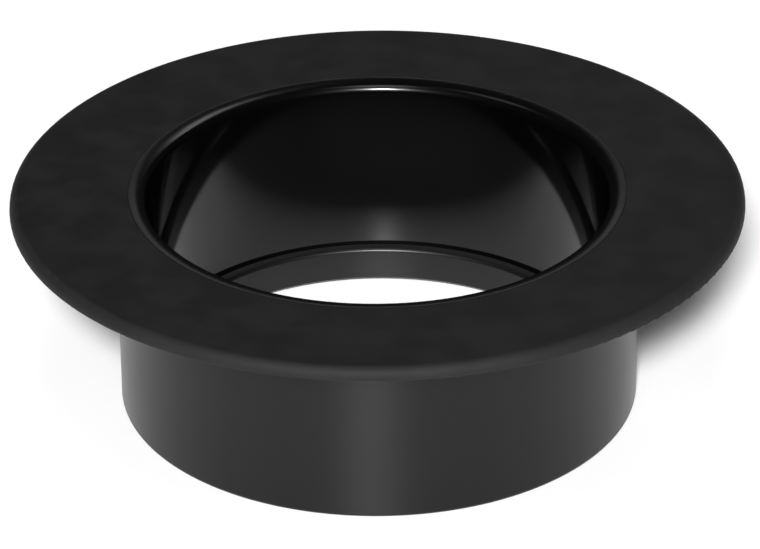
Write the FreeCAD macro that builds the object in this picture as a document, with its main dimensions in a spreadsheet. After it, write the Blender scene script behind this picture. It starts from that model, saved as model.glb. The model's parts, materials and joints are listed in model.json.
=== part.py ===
"""Slip-on toilet flange: a flat plate cemented round a short pipe sleeve.

All sizes are in millimetres. The origin is the centre of the sleeve's foot, and +Z
runs up the pipe axis, out of the socket's mouth.
"""
import FreeCAD, Part
import math
import os

import Sketcher

# Driving dimensions, each one a cell of the sheet with this alias.
SIZES = {
    "overall_height": 43.8,
    # Flat plate that seats on the floor
    "plate_diameter": 142.4,
    "plate_thickness": 2.6,
    "rim_top_radius": 1.9,
    "rim_bottom_radius": 0.5,
    # Shallow counterbore under the plate, which keeps the bead clear of the floor
    "register_diameter": 109.4,
    "register_depth": 0.4,
    # Sleeve: slips inside a 4 inch pipe, and takes a 3 inch pipe in its socket
    "sleeve_diameter": 101.6,
    "socket_diameter": 89.4,
    "lip_radius": 8.0,
    "mouth_radius": 1.7,
    "spigot_diameter": 96.4,
    "foot_radius": 0.8,
    # Collar at the sleeve's root, which carries the plate and stops the outer pipe
    "root_diameter": 104.6,
    "root_height": 3.4,
    "root_chamfer": 0.8,
    # Ring that stops the pipe, let into a counterbore in the sleeve's foot
    "stop_height": 7.3,
    "stop_bore": 85.0,
    "stop_diameter": 91.4,
    "stop_top_radius": 0.8,
    "stop_bottom_chamfer": 0.8,
    "stop_lead_chamfer": 0.4,
    # Cemented joints
    "joint_gap": 0.1,
    "bead_leg": 2.0,
    "bead_hollow_radius": 3.2,
}

# Heights of the two faces of the root collar: the plate's counterbore sits on its top
SHOULDER_HEIGHT = (
    "Sizes.overall_height - Sizes.plate_thickness + Sizes.register_depth"
)
ROOT_HEIGHT = SHOULDER_HEIGHT + " - Sizes.root_height"

# Shortest edge offset that still counts as the same edge
EDGE_TOLERANCE = 0.01


def make_sheet(doc):
    """Spreadsheet with one named cell for each driving dimension."""
    sheet = doc.addObject("Spreadsheet::Sheet", "Sizes")
    for row, (alias, value) in enumerate(SIZES.items(), start=1):
        sheet.set("A%d" % row, alias)
        sheet.set("B%d" % row, str(value))
        sheet.setAlias("B%d" % row, alias)
    doc.recompute()
    return sheet


def half(alias):
    """Expression for the radius of a diameter in the sheet."""
    return "Sizes.%s / 2" % alias


def make_body(doc, label):
    body = doc.addObject("PartDesign::Body", label)
    body.Label = label
    return body


def origin_plane(body, role):
    return next(plane for plane in body.Origin.OriginFeatures if plane.Role == role)


def half_plane_sketch(body, name):
    """Empty sketch on the body's XZ plane: x is the radius and y the height."""
    sketch = body.newObject("Sketcher::SketchObject", name)
    sketch.AttachmentSupport = [(origin_plane(body, "XZ_Plane"), "")]
    sketch.MapMode = "FlatFace"
    return sketch


def bind(sketch, constraint, name, expression):
    """Adds a dimension to a sketch, names it and ties it to the sheet."""
    index = sketch.addConstraint(constraint)
    sketch.renameConstraint(index, name)
    sketch.setExpression("Constraints.%s" % name, expression)


def revolve(body, sketch, name):
    """Full turn of a sketch about the pipe axis."""
    turn = body.newObject("PartDesign::Revolution", name)
    turn.Profile = sketch
    turn.ReferenceAxis = (sketch, ["V_Axis"])
    turn.Angle = 360.0
    body.Document.recompute()
    return turn


def stepped_ring(body, name, corners):
    """Ring whose section is made of level and upright edges.

    corners lists (radius, height) in order round the section, both as expressions.
    A height of None is the level of the body's own XY plane.
    """
    sketch = half_plane_sketch(body, name + "_section")
    places = [
        (
            body.evalExpression(radius),
            0.0 if height is None else body.evalExpression(height),
        )
        for radius, height in corners
    ]
    points = [FreeCAD.Vector(radius, height, 0) for radius, height in places]
    count = len(points)
    for index, point in enumerate(points):
        sketch.addGeometry(Part.LineSegment(point, points[(index + 1) % count]))
    for index, (radius, height) in enumerate(corners):
        following = (index + 1) % count
        sketch.addConstraint(Sketcher.Constraint("Coincident", index, 2, following, 1))
        if radius == corners[following][0]:
            sketch.addConstraint(Sketcher.Constraint("Vertical", index))
            value = places[index][0]
            distance = Sketcher.Constraint("DistanceX", -1, 1, index, 1, value)
            bind(sketch, distance, "radius_%d" % index, radius)
        elif height is None:
            sketch.addConstraint(Sketcher.Constraint("PointOnObject", index, 1, -1))
            sketch.addConstraint(Sketcher.Constraint("Horizontal", index))
        else:
            sketch.addConstraint(Sketcher.Constraint("Horizontal", index))
            value = places[index][1]
            distance = Sketcher.Constraint("DistanceY", -1, 1, index, 1, value)
            bind(sketch, distance, "height_%d" % index, height)
    return revolve(body, sketch, name + "_ring")


def round_edge(feature, radius, height):
    """Name of the circular edge of a feature at this radius and height."""
    for index, edge in enumerate(feature.Shape.Edges, start=1):
        curve = edge.Curve
        if not isinstance(curve, Part.Circle):
            continue
        same_radius = abs(curve.Radius - radius) < EDGE_TOLERANCE
        same_height = abs(curve.Center.z - height) < EDGE_TOLERANCE
        if same_radius and same_height:
            return "Edge%d" % index
    raise RuntimeError("no edge at radius %.2f, height %.2f" % (radius, height))


def dress_edge(body, kind, name, place, alias):
    """Fillet or chamfer on one edge of the body's last feature.

    place is the edge's (radius, height) in the body's own frame.
    """
    base = body.Tip
    feature = body.newObject("PartDesign::" + kind, name)
    feature.Base = (base, [round_edge(base, *place)])
    size = "Radius" if kind == "Fillet" else "Size"
    feature.setExpression(size, "Sizes." + alias)
    body.Document.recompute()
    if feature.Shape.Volume >= base.Shape.Volume:
        raise RuntimeError(name + " removed no material")
    return feature


def flange_plate(doc, sheet):
    """Flat plate with a rounded rim, bored to slip over the sleeve's spigot."""
    plate = make_body(doc, "flange_plate")
    hole = "Sizes.spigot_diameter / 2 + Sizes.joint_gap"
    register = half("register_diameter")
    rim = half("plate_diameter")
    top = "Sizes.plate_thickness"
    section = [
        (hole, "Sizes.register_depth"),
        (register, "Sizes.register_depth"),
        (register, None),
        (rim, None),
        (rim, top),
        (hole, top),
    ]
    stepped_ring(plate, "plate", section)
    rim_radius = sheet.plate_diameter / 2
    thickness = sheet.plate_thickness
    dress_edge(plate, "Fillet", "rim_top", (rim_radius, thickness), "rim_top_radius")
    dress_edge(plate, "Fillet", "rim_bottom", (rim_radius, 0), "rim_bottom_radius")
    plate.setExpression(
        "Placement.Base.z", "Sizes.overall_height - Sizes.plate_thickness"
    )
    return plate


def mouth_groove(sleeve, sheet):
    """Cuts the socket's mouth to two tangent arcs.

    The lip's broad arc leaves the top face at the spigot's edge, and the mouth's
    tighter arc carries it on into the socket's wall.
    """
    sketch = half_plane_sketch(sleeve, "mouth_section")
    top = sheet.overall_height
    spigot = sheet.spigot_diameter / 2
    socket = sheet.socket_diameter / 2
    lip = sheet.lip_radius
    mouth = sheet.mouth_radius
    # Turn of the lip's arc, from the top face to the point where the two arcs touch
    turn = math.asin((spigot - socket - mouth) / (lip - mouth))
    lip_centre = FreeCAD.Vector(spigot, top - lip, 0)
    away = FreeCAD.Vector(-math.sin(turn), math.cos(turn), 0)
    mouth_centre = lip_centre + away * (lip - mouth)
    corner = FreeCAD.Vector(socket, top, 0)
    wall_end = FreeCAD.Vector(socket, mouth_centre.y, 0)
    lip_start = FreeCAD.Vector(spigot, top, 0)
    upwards = FreeCAD.Vector(0, 0, 1)
    lip_circle = Part.Circle(lip_centre, upwards, lip)
    mouth_circle = Part.Circle(mouth_centre, upwards, mouth)
    quarter = math.pi / 2
    sketch.addGeometry(Part.LineSegment(lip_start, corner))
    sketch.addGeometry(Part.LineSegment(corner, wall_end))
    sketch.addGeometry(Part.ArcOfCircle(mouth_circle, quarter + turn, math.pi))
    sketch.addGeometry(Part.ArcOfCircle(lip_circle, quarter, quarter + turn))
    # An arc in a sketch runs anticlockwise: from the lip's start towards the wall.
    sketch.addConstraint(Sketcher.Constraint("Coincident", 0, 2, 1, 1))
    sketch.addConstraint(Sketcher.Constraint("Horizontal", 0))
    sketch.addConstraint(Sketcher.Constraint("Vertical", 1))
    sketch.addConstraint(Sketcher.Constraint("Tangent", 1, 2, 2, 2))
    sketch.addConstraint(Sketcher.Constraint("Tangent", 2, 1, 3, 2))
    sketch.addConstraint(Sketcher.Constraint("Tangent", 3, 1, 0, 1))
    corner_radius = Sketcher.Constraint("DistanceX", -1, 1, 1, 1, socket)
    bind(sketch, corner_radius, "socket", half("socket_diameter"))
    corner_height = Sketcher.Constraint("DistanceY", -1, 1, 1, 1, top)
    bind(sketch, corner_height, "top", "Sizes.overall_height")
    start_radius = Sketcher.Constraint("DistanceX", -1, 1, 0, 1, spigot)
    bind(sketch, start_radius, "spigot", half("spigot_diameter"))
    bind(sketch, Sketcher.Constraint("Radius", 2, mouth), "mouth", "Sizes.mouth_radius")
    bind(sketch, Sketcher.Constraint("Radius", 3, lip), "lip", "Sizes.lip_radius")
    base = sleeve.Tip
    groove = sleeve.newObject("PartDesign::Groove", "mouth")
    groove.Profile = sketch
    groove.ReferenceAxis = (sketch, ["V_Axis"])
    groove.Angle = 360.0
    sleeve.Document.recompute()
    if groove.Shape.Volume >= base.Shape.Volume:
        raise RuntimeError("mouth removed no material")


def socket_sleeve(doc, sheet):
    """Tube with a socket inside, a rounded mouth, and a collar at its root."""
    sleeve = make_body(doc, "socket_sleeve")
    seat = "Sizes.stop_diameter / 2 + Sizes.joint_gap"
    outside = half("sleeve_diameter")
    root = half("root_diameter")
    spigot = half("spigot_diameter")
    socket = half("socket_diameter")
    top = "Sizes.overall_height"
    stop = "Sizes.stop_height"
    section = [
        (seat, None),
        (outside, None),
        (outside, ROOT_HEIGHT),
        (root, ROOT_HEIGHT),
        (root, SHOULDER_HEIGHT),
        (spigot, SHOULDER_HEIGHT),
        (spigot, top),
        (socket, top),
        (socket, stop),
        (seat, stop),
    ]
    stepped_ring(sleeve, "sleeve", section)
    mouth_groove(sleeve, sheet)
    outside_radius = sheet.sleeve_diameter / 2
    root_radius = sheet.root_diameter / 2
    root_bottom = sleeve.evalExpression(ROOT_HEIGHT)
    dress_edge(sleeve, "Chamfer", "root", (root_radius, root_bottom), "root_chamfer")
    dress_edge(sleeve, "Fillet", "foot", (outside_radius, 0), "foot_radius")
    return sleeve


def stop_ring(doc, sheet):
    """Ring in the sleeve's foot whose top face stops the pipe."""
    ring = make_body(doc, "stop_ring")
    bore = half("stop_bore")
    outside = half("stop_diameter")
    top = "Sizes.stop_height"
    stepped_ring(ring, "stop", [(bore, None), (outside, None), (outside, top), (bore, top)])
    bore_radius = sheet.stop_bore / 2
    outside_radius = sheet.stop_diameter / 2
    height = sheet.stop_height
    dress_edge(ring, "Fillet", "stop_top", (bore_radius, height), "stop_top_radius")
    dress_edge(ring, "Chamfer", "stop_bottom", (bore_radius, 0), "stop_bottom_chamfer")
    dress_edge(ring, "Chamfer", "stop_lead", (outside_radius, height), "stop_lead_chamfer")
    return ring


def plate_bead(doc, sheet):
    """Bead of cement in the corner of plate and collar, hollowed like a weld fillet.

    The body's XY plane is the counterbore's face, and the bead hangs below it.
    """
    bead = make_body(doc, "plate_bead")
    sketch = half_plane_sketch(bead, "bead_section")
    wall = sheet.root_diameter / 2
    leg = sheet.bead_leg
    hollow = sheet.bead_hollow_radius
    corner = FreeCAD.Vector(wall, 0, 0)
    outer = FreeCAD.Vector(wall + leg, 0, 0)
    lower = FreeCAD.Vector(wall, -leg, 0)
    # The hollow face's centre is on the bisector of the corner, away from it.
    half_chord = leg / math.sqrt(2)
    reach = leg / 2 + math.sqrt((hollow ** 2 - half_chord ** 2) / 2)
    centre = FreeCAD.Vector(wall + reach, -reach, 0)
    middle = centre + FreeCAD.Vector(-hollow, hollow, 0) / math.sqrt(2)
    sketch.addGeometry(Part.LineSegment(corner, outer))
    sketch.addGeometry(Part.Arc(outer, middle, lower))
    sketch.addGeometry(Part.LineSegment(lower, corner))
    # An arc in a sketch runs anticlockwise, so this one starts at its outer end.
    sketch.addConstraint(Sketcher.Constraint("PointOnObject", 0, 1, -1))
    sketch.addConstraint(Sketcher.Constraint("Horizontal", 0))
    sketch.addConstraint(Sketcher.Constraint("Coincident", 0, 2, 1, 1))
    sketch.addConstraint(Sketcher.Constraint("Coincident", 1, 2, 2, 1))
    sketch.addConstraint(Sketcher.Constraint("Coincident", 2, 2, 0, 1))
    sketch.addConstraint(Sketcher.Constraint("Vertical", 2))
    wall_distance = Sketcher.Constraint("DistanceX", -1, 1, 0, 1, wall)
    bind(sketch, wall_distance, "wall", half("root_diameter"))
    leg_distance = Sketcher.Constraint("DistanceX", 0, 1, 0, 2, leg)
    bind(sketch, leg_distance, "level_leg", "Sizes.bead_leg")
    drop_distance = Sketcher.Constraint("DistanceY", 2, 1, 2, 2, leg)
    bind(sketch, drop_distance, "upright_leg", "Sizes.bead_leg")
    face_radius = Sketcher.Constraint("Radius", 1, hollow)
    bind(sketch, face_radius, "hollow", "Sizes.bead_hollow_radius")
    revolve(bead, sketch, "bead_ring")
    bead.setExpression("Placement.Base.z", SHOULDER_HEIGHT)
    return bead


def check_document(doc, pieces):
    """Stops unless every object is up to date and every piece is one sound solid."""
    for item in doc.Objects:
        if "Invalid" in item.State or "Error" in item.State:
            raise RuntimeError("%s failed: %s" % (item.Name, item.State))
    for piece in pieces:
        shape = piece.Shape
        if shape.isNull() or not shape.isValid() or len(shape.Solids) != 1:
            raise RuntimeError(piece.Label + " isn't one valid solid")


def main():
    doc = FreeCAD.newDocument("toilet_flange")
    sheet = make_sheet(doc)
    pieces = [
        flange_plate(doc, sheet),
        socket_sleeve(doc, sheet),
        stop_ring(doc, sheet),
        plate_bead(doc, sheet),
    ]
    doc.recompute()
    check_document(doc, pieces)
    os.makedirs("parts", exist_ok=True)
    for piece in pieces:
        piece.Shape.exportStep("parts/%s.step" % piece.Label)
        box = piece.Shape.optimalBoundingBox()
        print(
            "%s: volume %.1f, height %.2f to %.2f, radius %.2f"
            % (piece.Label, piece.Shape.Volume, box.ZMin, box.ZMax, box.XMax)
        )


main()
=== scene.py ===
"""Slip-on toilet flange in black ABS on a pale floor, in soft studio light.

Metres throughout. +Z runs up the pipe axis from the middle of the sleeve's foot.
"""
import bpy
import json
import math
from mathutils import Matrix, Vector


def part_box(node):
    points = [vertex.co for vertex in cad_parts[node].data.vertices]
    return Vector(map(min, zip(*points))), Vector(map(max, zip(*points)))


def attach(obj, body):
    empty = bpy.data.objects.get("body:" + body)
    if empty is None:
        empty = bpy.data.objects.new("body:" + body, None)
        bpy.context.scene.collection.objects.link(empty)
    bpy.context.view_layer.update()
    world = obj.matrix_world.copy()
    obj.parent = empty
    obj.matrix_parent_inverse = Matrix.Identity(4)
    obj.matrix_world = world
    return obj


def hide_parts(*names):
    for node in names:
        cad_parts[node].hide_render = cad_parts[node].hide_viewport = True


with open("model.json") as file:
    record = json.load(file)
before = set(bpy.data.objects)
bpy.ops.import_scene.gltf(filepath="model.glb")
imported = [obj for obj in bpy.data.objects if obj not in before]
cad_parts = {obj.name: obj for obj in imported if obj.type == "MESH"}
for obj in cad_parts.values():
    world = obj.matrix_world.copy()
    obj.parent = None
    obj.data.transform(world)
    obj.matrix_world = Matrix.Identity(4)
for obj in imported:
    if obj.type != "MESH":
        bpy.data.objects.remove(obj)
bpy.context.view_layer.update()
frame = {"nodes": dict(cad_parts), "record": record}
scene = bpy.context.scene

MM = 0.001

# Sizes of the pieces, read from the frame
_, plate_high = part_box("flange_plate")
_, sleeve_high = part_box("socket_sleeve")
_, stop_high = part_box("stop_ring")
_, bead_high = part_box("plate_bead")
mounts = {mount["name"]: mount for mount in frame["record"]["mounts"]}
PLATE_RADIUS = plate_high[0]
PLATE_TOP = plate_high[2]
SLEEVE_RADIUS = mounts["hub_outside"]["dims"]["r_mm"] * MM
SOCKET_RADIUS = mounts["pipe_socket"]["dims"]["r_mm"] * MM
ROOT_RADIUS = sleeve_high[0]
STOP_RADIUS = stop_high[0]
STOP_TOP = stop_high[2]
BEAD_RADIUS = bead_high[0]
SHOULDER = bead_high[2]

# Smaller features of the pieces, which the boxes don't tell
JOINT_GAP = 0.1 * MM
RIM_TOP_RADIUS = 1.9 * MM
SPIGOT_RADIUS = 48.2 * MM
LIP_RADIUS = 8.0 * MM
MOUTH_RADIUS = 1.7 * MM
ROOT_HEIGHT = 3.4 * MM
ROOT_CHAMFER = 0.8 * MM
FOOT_RADIUS = 0.8 * MM
STOP_BORE = 42.5 * MM
STOP_EDGE = 0.8 * MM
STOP_LEAD = 0.4 * MM

# Fineness of the turned meshes, and the distance within which two points are one
TURN_STEPS = 384
ARC_STEP = math.radians(4.0)
SAME_POINT = 0.0001 * MM

# Cement bead: steps round the ring, points across its face, and the angle that counts
# as a corner
BEAD_STEPS = 720
BEAD_FACE_POINTS = 9
BEAD_CORNER = math.radians(50)

# How far the bead reaches out and down, as shares of its leg, and how hollow its face
# is: a mean, and ripples that are each (size, count round the ring, phase)
BEAD_OUT = (0.93, [(0.035, 5, 0.7), (0.025, 13, 2.1), (0.010, 31, 0.0)])
BEAD_DROP = (0.92, [(0.040, 4, 1.9), (0.025, 11, 0.4), (0.010, 37, 0.0)])
BEAD_HOLLOW = (0.16, [(0.05, 7, 1.0), (0.03, 19, 0.0)])

# Camera: looks down on the plate from the front (-Y). Angles are in degrees, and the
# lens and sensor in millimetres.
CAMERA_ELEVATION = 27.63
CAMERA_DISTANCE = 0.9493
CAMERA_ROLL = -0.48
CAMERA_LENS = 232.2
CAMERA_SENSOR = 36.0
CAMERA_NEAR = 0.05
CAMERA_FAR = 60.0
AIM_RIGHT = 0.39 * MM
AIM_BELOW_PLATE = 19.22 * MM

# Lamps hang at this distance from the middle of the part
LAMP_DISTANCE = 3.0
LAMP_TARGET = Vector((0, 0, PLATE_TOP / 2))

# Each softbox: azimuth, elevation, width and height in degrees, and radiance.
# Azimuth 0 is the camera's side (-Y) and 90 is +X.
SOFTBOXES = {
    "key": (-3.5, 33.0, 6.0, 6.0, 535.0),
    "key_glow": (-3.5, 36.0, 24.0, 8.0, 5.0),
    "overhead": (-3.0, 75.0, 16.0, 28.0, 3.0),
    "side_right": (152.0, 45.5, 24.0, 7.0, 4.4),
    "side_left": (-126.0, 63.0, 24.0, 12.0, 1.2),
    "back": (180.0, 25.7, 10.0, 5.5, 0.8),
}

# Light from the rest of the dim studio
AMBIENT = 0.025

# The floor is lit by the lamps alone near the part. It glows softly from GLOW_START
# outwards, and more from FAR_START, so that it stays pale as far as the wall.
FLOOR_HALF_SIDE = 8.0
GLOW_START = 0.12
GLOW_END = 0.45
GLOW = 0.5
FAR_START = 0.8
FAR_END = 3.5
FAR_GLOW = 0.45

# A pale wall round the studio, which only the camera sees
WALL_RADIUS = 7.5
WALL_HEIGHT = 6.0
WALL_STEPS = 96
WALL_GLOW = 0.85


def spherical(azimuth, elevation, distance, centre):
    """Point at a bearing and height angle, in degrees, from a centre."""
    bearing = math.radians(azimuth)
    height = math.radians(elevation)
    level = distance * math.cos(height)
    rise = distance * math.sin(height)
    offset = (level * math.sin(bearing), -level * math.cos(bearing), rise)
    return Vector(centre) + Vector(offset)


def facing(position, target, roll=0.0):
    """Matrix that puts an object at a position with its -Z towards the target."""
    turn = (Vector(target) - Vector(position)).to_track_quat("-Z", "Y").to_matrix()
    spin = Matrix.Rotation(math.radians(roll), 3, "Z")
    return Matrix.Translation(position) @ (turn @ spin).to_4x4()


class Nodes:
    """Short way to lay out a material's nodes."""

    def __init__(self, name):
        self.material = bpy.data.materials.new(name)
        self.material.use_nodes = True
        self.tree = self.material.node_tree
        self.shader = self.tree.nodes["Principled BSDF"]
        self.place = self.add("TexCoord").outputs["Object"]

    def add(self, kind, inputs=None, **settings):
        node = self.tree.nodes.new("ShaderNode" + kind)
        for key, value in settings.items():
            setattr(node, key, value)
        for key, value in (inputs or {}).items():
            self.feed(node.inputs[key], value)
        return node

    def feed(self, socket, value):
        """Links a socket to another one, or gives it a constant."""
        if isinstance(value, bpy.types.NodeSocket):
            self.tree.links.new(value, socket)
        elif isinstance(value, tuple) and len(value) == 3 and socket.type == "RGBA":
            socket.default_value = (*value, 1)
        else:
            socket.default_value = value

    def maths(self, operation, a, b=0.0):
        return self.add("Math", {0: a, 1: b}, operation=operation).outputs[0]

    def radius_and_height(self):
        """Distance from the pipe axis, and height above the floor."""
        x, y, z = self.add("SeparateXYZ", {0: self.place}).outputs
        x_square = self.maths("POWER", x, 2.0)
        y_square = self.maths("POWER", y, 2.0)
        return self.maths("SQRT", self.maths("ADD", x_square, y_square)), z

    def blend(self, value, start, end, low, high):
        """low up to start and high from end on, with a smooth step between."""
        inputs = {0: value, 1: start, 2: end, 3: low, 4: high}
        return self.add("MapRange", inputs, interpolation_type="SMOOTHSTEP").outputs[0]

    def between(self, share, low, high):
        """Number from low to high as share runs from 0 to 1. Either may be a socket."""
        return self.add("Mix", {0: share, 2: low, 3: high}).outputs[0]

    def tint(self, share, dark, light):
        """Colour from dark to light as share runs from 0 to 1."""
        return self.add("MixRGB", {0: share, 1: dark, 2: light}).outputs[0]

    def noise(self, scale, detail=2.0, roughness=0.5, where=None):
        """Soft noise at a scale per metre, from where the surface is if not told."""
        inputs = {"Vector": where or self.place, "Scale": scale}
        inputs.update({"Detail": detail, "Roughness": roughness})
        return self.add("TexNoise", inputs).outputs[0]

    def bump(self, height, strength, distance):
        inputs = {"Height": height, "Strength": strength, "Distance": distance}
        return self.add("Bump", inputs).outputs[0]

    def finish(self, **values):
        """Sets the shader's sockets, with _ for each space in their names."""
        for key, value in values.items():
            self.feed(self.shader.inputs[key.replace("_", " ")], value)
        return self.material


def plate_material():
    """Matte moulded plastic with a fine grain on the flat faces.

    The rim has less grain but is rougher, which keeps its highlight soft.
    """
    m = Nodes("plate_abs")
    radius, _ = m.radius_and_height()
    grain = m.noise(800.0, 4.0, 0.65)
    mottle = m.blend(m.noise(110.0, 4.0, 0.6), 0.35, 0.65, 0.0, 1.0)
    flat_edge = PLATE_RADIUS - RIM_TOP_RADIUS
    rim_start = flat_edge + 0.8 * MM
    flat = m.blend(radius, flat_edge, rim_start, 1.0, 0.0)
    matte = m.between(mottle, 0.55, 0.65)
    rim = 0.76
    return m.finish(
        Base_Color=m.tint(mottle, (0.0022, 0.0022, 0.0024), (0.0040, 0.0040, 0.0042)),
        Roughness=m.between(flat, rim, matte),
        Specular_IOR_Level=0.36,
        Normal=m.bump(grain, m.between(flat, 0.3, 1.0), 0.03 * MM),
    )


def sleeve_material():
    """Polished in the socket, a little less so round the mouth, and satin outside."""
    m = Nodes("sleeve_abs")
    radius, height = m.radius_and_height()
    inner_end = SLEEVE_RADIUS - 1.2 * MM
    outer_start = SLEEVE_RADIUS - 0.8 * MM
    inside = m.blend(radius, inner_end, outer_start, 1.0, 0.0)
    mouth_start = PLATE_TOP - 2.6 * MM
    mouth_end = PLATE_TOP - 1.6 * MM
    mouth = m.blend(height, mouth_start, mouth_end, 0.0, 1.0)
    smear = m.noise(60.0, 2.0, 0.5)
    fine = m.noise(700.0, 3.0, 0.6)
    satin = m.between(smear, 0.28, 0.36)
    polished = m.between(smear, 0.06, 0.11)
    lip = m.between(smear, 0.18, 0.25)
    bore = m.between(mouth, polished, lip)
    return m.finish(
        Base_Color=m.tint(smear, (0.0005, 0.0005, 0.0006), (0.0009, 0.0009, 0.0010)),
        Roughness=m.between(inside, satin, bore),
        Specular_IOR_Level=0.32,
        Normal=m.bump(fine, m.between(inside, 0.4, 0.06), 0.01 * MM),
    )


def stop_material():
    """Satin plastic with fine turning marks, and a rough sawn top face."""
    m = Nodes("stop_abs")
    radius, height = m.radius_and_height()
    smear = m.noise(80.0, 2.0, 0.5)
    section = m.add("CombineXYZ", {0: radius, 2: height}).outputs[0]
    marks = m.noise(2500.0, 2.0, 0.6, section)
    flat_edge = STOP_BORE + STOP_EDGE
    past_edge = m.blend(radius, flat_edge - 0.3 * MM, flat_edge, 0.0, 1.0)
    at_top = m.blend(height, STOP_TOP - 0.2 * MM, STOP_TOP - 0.05 * MM, 0.0, 1.0)
    top_face = m.maths("MULTIPLY", past_edge, at_top)
    satin = m.between(smear, 0.33, 0.41)
    sawn = 0.75
    return m.finish(
        Base_Color=m.tint(smear, (0.0018, 0.0018, 0.0020), (0.0030, 0.0030, 0.0032)),
        Roughness=m.between(top_face, satin, sawn),
        Specular_IOR_Level=0.34,
        Normal=m.bump(marks, 0.1, 0.01 * MM),
    )


def bead_material():
    """Glossy set cement with small lumps."""
    m = Nodes("bead_cement")
    lumps = m.noise(420.0, 3.0, 0.6)
    return m.finish(
        Base_Color=m.tint(lumps, (0.003, 0.003, 0.003), (0.006, 0.006, 0.006)),
        Roughness=m.between(lumps, 0.08, 0.20),
        Normal=m.bump(lumps, 0.4, 0.1 * MM),
    )


def floor_material():
    """Pale paper that glows away from the part."""
    m = Nodes("floor_paper")
    radius, _ = m.radius_and_height()
    fibre = m.noise(900.0, 3.0, 0.6)
    near = m.blend(radius, GLOW_START, GLOW_END, 0.0, GLOW)
    far = m.blend(radius, FAR_START, FAR_END, 0.0, FAR_GLOW)
    return m.finish(
        Base_Color=m.tint(fibre, (0.90, 0.90, 0.90), (0.92, 0.92, 0.92)),
        Roughness=0.35,
        Specular_IOR_Level=0.3,
        Emission_Color=(1.0, 1.0, 1.0),
        Emission_Strength=m.maths("ADD", near, far),
    )


def add_mesh(name, vertices, faces, material):
    """Object with one material, linked to the scene."""
    mesh = bpy.data.meshes.new(name)
    mesh.from_pydata(vertices, [], faces)
    mesh.validate()
    mesh.materials.append(material)
    piece = bpy.data.objects.new(name, mesh)
    scene.collection.objects.link(piece)
    return piece


def add_floor():
    """Square floor at the height of the part's foot."""
    side = FLOOR_HALF_SIDE
    corners = [(-side, -side, 0), (side, -side, 0), (side, side, 0), (-side, side, 0)]
    add_mesh("floor", corners, [(0, 1, 2, 3)], floor_material())


def add_wall():
    """Round wall that lights nothing, so that low views have a pale background."""
    vertices = []
    for step in range(WALL_STEPS):
        angle = 2 * math.pi * step / WALL_STEPS
        place = (WALL_RADIUS * math.cos(angle), WALL_RADIUS * math.sin(angle))
        vertices += [(*place, 0), (*place, WALL_HEIGHT)]
    faces = []
    for step in range(WALL_STEPS):
        here = 2 * step
        there = 2 * ((step + 1) % WALL_STEPS)
        faces.append((here, here + 1, there + 1, there))
    m = Nodes("studio_wall")
    plaster = m.noise(3.0)
    material = m.finish(
        Base_Color=(0.9, 0.9, 0.9),
        Emission_Color=m.tint(plaster, (0.97, 0.97, 0.97), (1.0, 1.0, 1.0)),
        Emission_Strength=WALL_GLOW,
    )
    wall = add_mesh("wall", vertices, faces, material)
    wall.visible_diffuse = False
    wall.visible_glossy = False
    wall.visible_shadow = False


def line(start, end):
    """Edge of a section, as two points with the normal on its right-hand side."""
    run = Vector(end) - Vector(start)
    normal = Vector((run.y, -run.x)).normalized()
    return [(Vector(start), normal), (Vector(end), normal)]


def arc(centre, radius, start, end):
    """Anticlockwise arc of a section, in degrees, as points with their normals."""
    first = math.radians(start)
    turn = math.radians(end) - first
    steps = math.ceil(turn / ARC_STEP)
    points = []
    for step in range(steps + 1):
        angle = first + turn * step / steps
        normal = Vector((math.cos(angle), math.sin(angle)))
        points.append((Vector(centre) + radius * normal, normal))
    return points


def joined(*pieces):
    """Closed section: lines fill in between the given corners (tuples) and arcs (lists)."""
    runs = []
    for piece in pieces:
        runs.append(piece if isinstance(piece, list) else [(Vector(piece), None)])
    section = []
    for index, piece in enumerate(runs):
        following = runs[(index + 1) % len(runs)]
        if len(piece) > 1:
            section += list(zip(piece, piece[1:]))
        if (following[0][0] - piece[-1][0]).length > SAME_POINT:
            section.append(tuple(line(piece[-1][0], following[0][0])))
    return section


def turned(name, section, material, node):
    """Piece turned about the pipe axis from a closed anticlockwise section.

    section lists edges, each two (point, normal) pairs. Every face takes its edge's own
    normals, so arcs stay smooth and corners stay sharp.
    """
    count = len(section)
    vertices = []
    faces = []
    normals = []
    spokes = []
    for step in range(TURN_STEPS):
        angle = 2 * math.pi * step / TURN_STEPS
        spokes.append((math.cos(angle), math.sin(angle)))
    for cosine, sine in spokes:
        vertices += [(p.x * cosine, p.x * sine, p.y) for (p, _), _ in section]
    for step in range(TURN_STEPS):
        after = (step + 1) % TURN_STEPS
        for index, ((_, first), (_, last)) in enumerate(section):
            following = (index + 1) % count
            corners = [(step, index, first), (after, index, first)]
            corners += [(after, following, last), (step, following, last)]
            faces.append([spoke * count + place for spoke, place, _ in corners])
            for spoke, _, normal in corners:
                cosine, sine = spokes[spoke]
                normals.append((normal.x * cosine, normal.x * sine, normal.y))
    piece = add_mesh(name, vertices, faces, material)
    piece.data.shade_smooth()
    piece.data.normals_split_custom_set(normals)
    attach(piece, "root")
    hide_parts(node)


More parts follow.
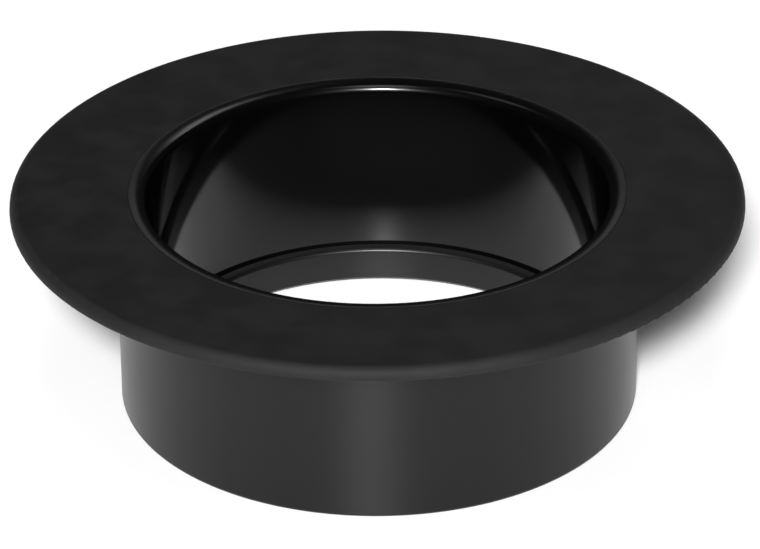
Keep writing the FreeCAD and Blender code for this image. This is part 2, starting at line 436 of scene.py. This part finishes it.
def add_sleeve():
    """Sleeve with its root collar, spigot, rounded mouth, socket and foot."""
    seat = STOP_RADIUS + JOINT_GAP
    root_bottom = SHOULDER - ROOT_HEIGHT
    foot = (SLEEVE_RADIUS - FOOT_RADIUS, FOOT_RADIUS)
    lip = Vector((SPIGOT_RADIUS, PLATE_TOP - LIP_RADIUS))
    # The lip's arc turns until it touches the mouth's tighter one.
    reach = SPIGOT_RADIUS - SOCKET_RADIUS - MOUTH_RADIUS
    lip_turn = math.asin(reach / (LIP_RADIUS - MOUTH_RADIUS))
    away = Vector((-math.sin(lip_turn), math.cos(lip_turn)))
    mouth = lip + away * (LIP_RADIUS - MOUTH_RADIUS)
    lip_end = 90 + math.degrees(lip_turn)
    section = joined(
        (seat, 0),
        arc(foot, FOOT_RADIUS, -90, 0),
        (SLEEVE_RADIUS, root_bottom),
        (ROOT_RADIUS - ROOT_CHAMFER, root_bottom),
        (ROOT_RADIUS, root_bottom + ROOT_CHAMFER),
        (ROOT_RADIUS, SHOULDER),
        (SPIGOT_RADIUS, SHOULDER),
        arc(lip, LIP_RADIUS, 90, lip_end),
        arc(mouth, MOUTH_RADIUS, lip_end, 180),
        (SOCKET_RADIUS, STOP_TOP),
        (seat, STOP_TOP),
    )
    turned("sleeve_tube", section, sleeve_material(), "socket_sleeve")


def add_stop():
    """Ring at the foot of the socket that a pipe's end rests on."""
    corner = (STOP_BORE + STOP_EDGE, STOP_TOP - STOP_EDGE)
    section = joined(
        (STOP_BORE + STOP_EDGE, 0),
        (STOP_RADIUS, 0),
        (STOP_RADIUS, STOP_TOP - STOP_LEAD),
        (STOP_RADIUS - STOP_LEAD, STOP_TOP),
        arc(corner, STOP_EDGE, 90, 180),
        (STOP_BORE, STOP_EDGE),
    )
    turned("pipe_stop", section, stop_material(), "stop_ring")


def dress_plate():
    """The plate keeps its CAD mesh, and gets its material."""
    mesh = frame["nodes"]["flange_plate"].data
    mesh.materials.clear()
    mesh.materials.append(plate_material())


def wave(angle, mean, ripples):
    """Mean plus some sine ripples, each (size, count round the ring, phase)."""
    total = sum(size * math.sin(count * angle + phase) for size, count, phase in ripples)
    return mean + total


def add_bead():
    """Cement bead under the plate: its two legs and its face vary round the ring."""
    leg = BEAD_RADIUS - ROOT_RADIUS
    vertices = []
    for step in range(BEAD_STEPS):
        angle = 2 * math.pi * step / BEAD_STEPS
        out = wave(angle, *BEAD_OUT)
        drop = wave(angle, *BEAD_DROP)
        hollow = wave(angle, *BEAD_HOLLOW)
        section = [(ROOT_RADIUS, SHOULDER)]
        for index in range(BEAD_FACE_POINTS):
            along = index / (BEAD_FACE_POINTS - 1)
            sag = 1 - hollow * math.sin(math.pi * along)
            level = leg * min(out, 1.0) * (1 - along) * sag
            fall = leg * min(drop, 1.0) * along * sag
            section.append((ROOT_RADIUS + level, SHOULDER - fall))
        for radius, height in section:
            vertices.append((radius * math.cos(angle), radius * math.sin(angle), height))
    count = BEAD_FACE_POINTS + 1
    faces = []
    for step in range(BEAD_STEPS):
        here = step * count
        there = (step + 1) % BEAD_STEPS * count
        for index in range(count):
            after = (index + 1) % count
            faces.append((here + index, here + after, there + after, there + index))
    bead = add_mesh("cement_bead", vertices, faces, bead_material())
    bead.data.shade_smooth()
    bead.data.set_sharp_from_angle(angle=BEAD_CORNER)
    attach(bead, "root")
    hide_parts("plate_bead")


def add_softbox(name, azimuth, elevation, width, height, radiance):
    """Rectangular lamp that looks this wide and high from the part."""
    light = bpy.data.lights.new(name, "AREA")
    light.shape = "RECTANGLE"
    light.size = 2 * LAMP_DISTANCE * math.tan(math.radians(width / 2))
    light.size_y = 2 * LAMP_DISTANCE * math.tan(math.radians(height / 2))
    light.energy = radiance * math.pi * light.size * light.size_y
    lamp = bpy.data.objects.new(name, light)
    scene.collection.objects.link(lamp)
    position = spherical(azimuth, elevation, LAMP_DISTANCE, LAMP_TARGET)
    lamp.matrix_world = facing(position, LAMP_TARGET)


def add_sky():
    """Even dim light from all round."""
    world = bpy.data.worlds.new("studio")
    world.use_nodes = True
    background = world.node_tree.nodes["Background"]
    background.inputs["Color"].default_value = (AMBIENT, AMBIENT, AMBIENT, 1)
    scene.world = world


def add_camera():
    """Camera at the photo's angle."""
    data = bpy.data.cameras.new("camera")
    data.sensor_width = CAMERA_SENSOR
    data.lens = CAMERA_LENS
    data.clip_start = CAMERA_NEAR
    data.clip_end = CAMERA_FAR
    camera = bpy.data.objects.new("camera", data)
    scene.collection.objects.link(camera)
    position = spherical(0, CAMERA_ELEVATION, CAMERA_DISTANCE, (0, 0, PLATE_TOP))
    aim = (AIM_RIGHT, 0, PLATE_TOP - AIM_BELOW_PLATE)
    camera.matrix_world = facing(position, aim, CAMERA_ROLL)
    scene.camera = camera


dress_plate()
add_sleeve()
add_stop()
add_bead()
add_floor()
add_wall()
add_sky()
add_camera()
for name, softbox in SOFTBOXES.items():
    add_softbox(name, *softbox)
scene.view_settings.view_transform = "Standard"
